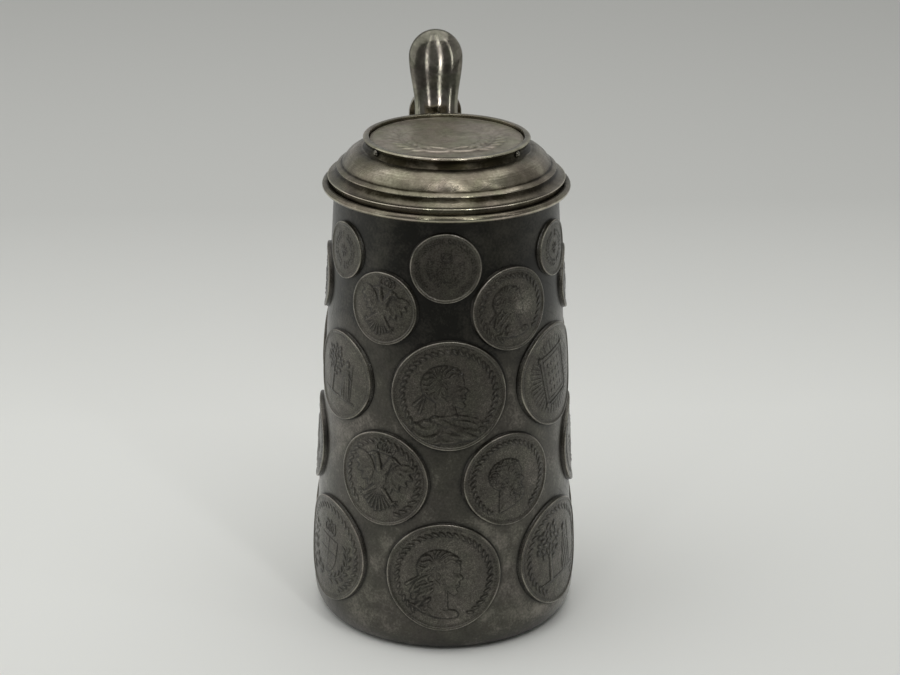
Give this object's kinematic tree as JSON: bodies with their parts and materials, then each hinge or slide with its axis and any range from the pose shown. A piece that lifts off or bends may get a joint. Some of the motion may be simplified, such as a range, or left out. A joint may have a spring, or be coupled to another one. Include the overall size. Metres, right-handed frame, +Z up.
{
  "type": "lidded coin tankard",
  "caption": "Lidded silver tankard: tapered drum set with bent coins, stepped hinged lid holding a medal, club-shaped thumbpiece and ear handle.",
  "frame": {"origin": "centre of the base on the drum's axis, in the plane that the tankard stands on", "axes": "+Z up along the drum's axis, +Y towards the handle, +X to the right seen from the front"},
  "size_m": [0.0982, 0.1382, 0.2049],
  "materials": {
    "drum_silver": "dark tarnished silver, satin",
    "coin_silver": "worn struck silver with dark hollows",
    "lid_silver": "worn silver, warm and satin",
    "medal_silver": "worn struck silver",
    "polished_silver": "polished by use",
    "handle_silver": "worn silver, satin",
    "plain_silver": "plain silver, lightly scratched"
  },
  "bodies": {
    "tankard_body": {"base_plate": "plain_silver", "coin_a_1": "coin_silver", "coin_a_2": "coin_silver", "coin_a_3": "coin_silver", "coin_a_4": "coin_silver", "coin_a_5": "coin_silver", "coin_b_1": "coin_silver", "coin_b_2": "coin_silver", "coin_b_3": "coin_silver", "coin_b_4": "coin_silver", "coin_b_5": "coin_silver", "coin_b_6": "coin_silver", "coin_c_1": "coin_silver", "coin_c_2": "coin_silver", "coin_c_3": "coin_silver", "coin_c_4": "coin_silver", "coin_c_5": "coin_silver", "coin_c_6": "coin_silver", "coin_d_1": "coin_silver", "coin_d_2": "coin_silver", "coin_d_3": "coin_silver", "coin_d_4": "coin_silver", "coin_d_5": "coin_silver", "coin_d_6": "coin_silver", "coin_e_1": "coin_silver", "coin_e_2": "coin_silver", "coin_e_3": "coin_silver", "coin_e_4": "coin_silver", "coin_e_5": "coin_silver", "drum": "drum_silver", "handle_grip": "handle_silver", "handle_pad": "handle_silver", "hinge_bracket": "handle_silver", "hinge_pin": "polished_silver", "hinge_pin_buttons": "polished_silver"},
    "lid": {"lid_flange": "lid_silver", "lid_cap": "lid_silver", "lid_guide_ring": "lid_silver", "medal_bezel": "lid_silver", "bezel_pins": "polished_silver", "lid_medal": "medal_silver", "lid_hinge_leaf": "lid_silver", "thumbpiece": "polished_silver", "thumbpiece_brace": "polished_silver"}
  },
  "joints": [
    {"name": "lid_hinge", "type": "hinge", "parent": "tankard_body", "child": "lid", "pos_m": [0, 0.04992, 0.1644], "axis": [-1, 0, 0], "range_deg": [0, 100]}
  ]
}
